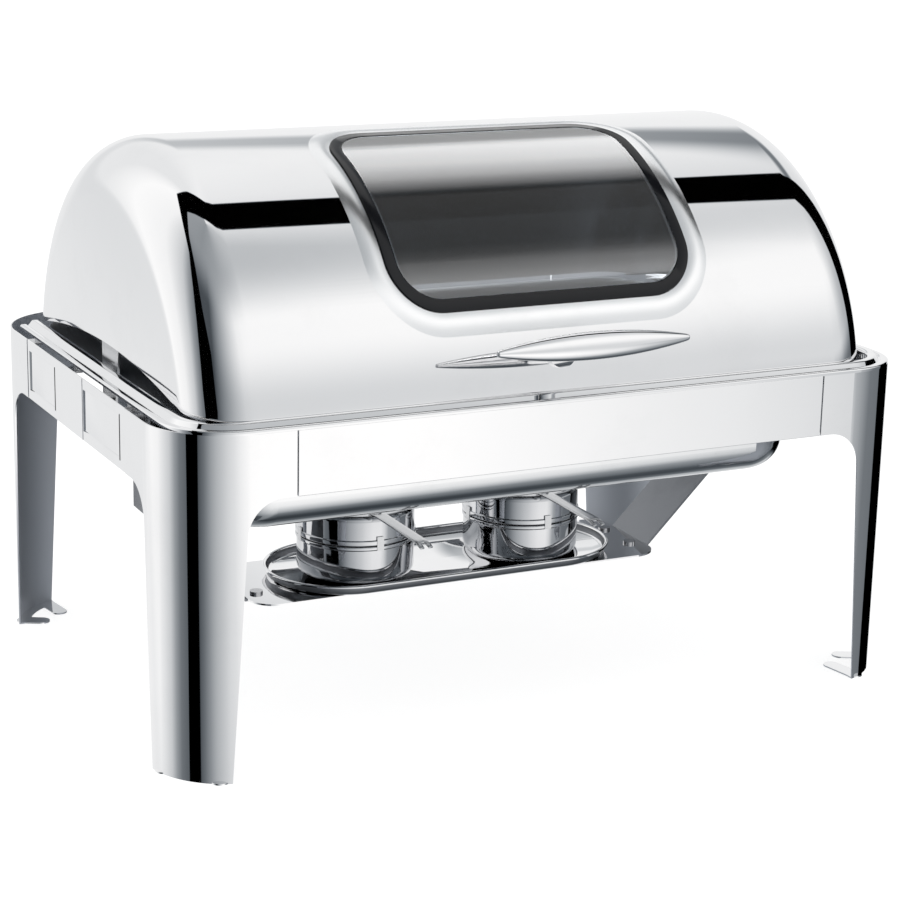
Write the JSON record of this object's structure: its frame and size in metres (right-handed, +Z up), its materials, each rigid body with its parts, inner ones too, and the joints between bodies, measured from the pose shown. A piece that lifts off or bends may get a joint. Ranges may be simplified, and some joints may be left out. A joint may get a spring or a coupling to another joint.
{
  "type": "roll-top chafing dish food warmer",
  "caption": "Roll-top chafing dish: four-legged polished frame, lid with a curved window and leaf handle, water pan, food pan, and a fuel shelf with covered fuel holders.",
  "frame": {"origin": "centre of the object's footprint, on the plane that the feet stand on", "axes": "+X to the right-hand side, +Y to the back, +Z up; the handle is at the front"},
  "size_m": [0.64, 0.4896, 0.4466],
  "materials": {
    "polished_steel": "mirror-polished stainless steel",
    "satin_steel": "bright cold-rolled stainless steel",
    "fastener_steel": "plain stainless steel",
    "tempered_glass": "clear tempered glass",
    "window_border": "glossy black",
    "silicone": "matte",
    "nylon": "matte"
  },
  "bodies": {
    "root": {"leg_front_left": "polished_steel", "leg_front_right": "polished_steel", "leg_rear_left": "polished_steel", "leg_rear_right": "polished_steel", "apron_front": "polished_steel", "apron_rear": "polished_steel", "apron_left": "polished_steel", "apron_right": "polished_steel", "rim_trim": "polished_steel", "fuel_cup_left": "polished_steel", "fuel_cup_right": "polished_steel", "fuel_cover_left": "polished_steel", "fuel_cover_right": "polished_steel", "fuel_tray": "polished_steel", "seam_splices": "satin_steel", "front_rail": "satin_steel", "rim_tabs": "satin_steel", "pivot_bracket_left": "satin_steel", "pivot_bracket_right": "satin_steel", "water_pan": "satin_steel", "food_pan": "satin_steel", "hanger_strap_left": "satin_steel", "hanger_strap_right": "satin_steel", "fuel_shelf": "satin_steel", "cover_clips_left": "satin_steel", "cover_clips_right": "satin_steel", "pivot_pins": "fastener_steel", "pivot_nuts": "fastener_steel", "bracket_rivets": "fastener_steel", "shelf_rivets": "fastener_steel", "damper_rivets": "fastener_steel", "lid_rest_pads": "silicone", "pivot_spacers": "nylon"},
    "lid": {"lid_shell": "polished_steel", "window_surround": "polished_steel", "window_gasket": "window_border", "window_glass": "tempered_glass", "window_retainer": "satin_steel", "hinge_arm_left": "satin_steel", "hinge_arm_right": "satin_steel", "handle_bar": "polished_steel", "handle_post": "polished_steel", "handle_bolt": "fastener_steel"},
    "damper_left": {"damper_left": "satin_steel"},
    "damper_right": {"damper_right": "satin_steel"}
  },
  "joints": [
    {"name": "lid_roll", "type": "hinge", "parent": "root", "child": "lid", "pos_m": [0, 0.01725, 0.233], "axis": [-1, 0, 0], "range_deg": [0, 90]},
    {"name": "damper_left_swing", "type": "hinge", "parent": "root", "child": "damper_left", "pos_m": [-0.078, -0.02175, 0.133], "axis": [0, 0, 1], "range_deg": [0, 60]},
    {"name": "damper_right_swing", "type": "hinge", "parent": "root", "child": "damper_right", "pos_m": [0.078, -0.02175, 0.133], "axis": [0, 0, 1], "range_deg": [0, 60]}
  ]
}
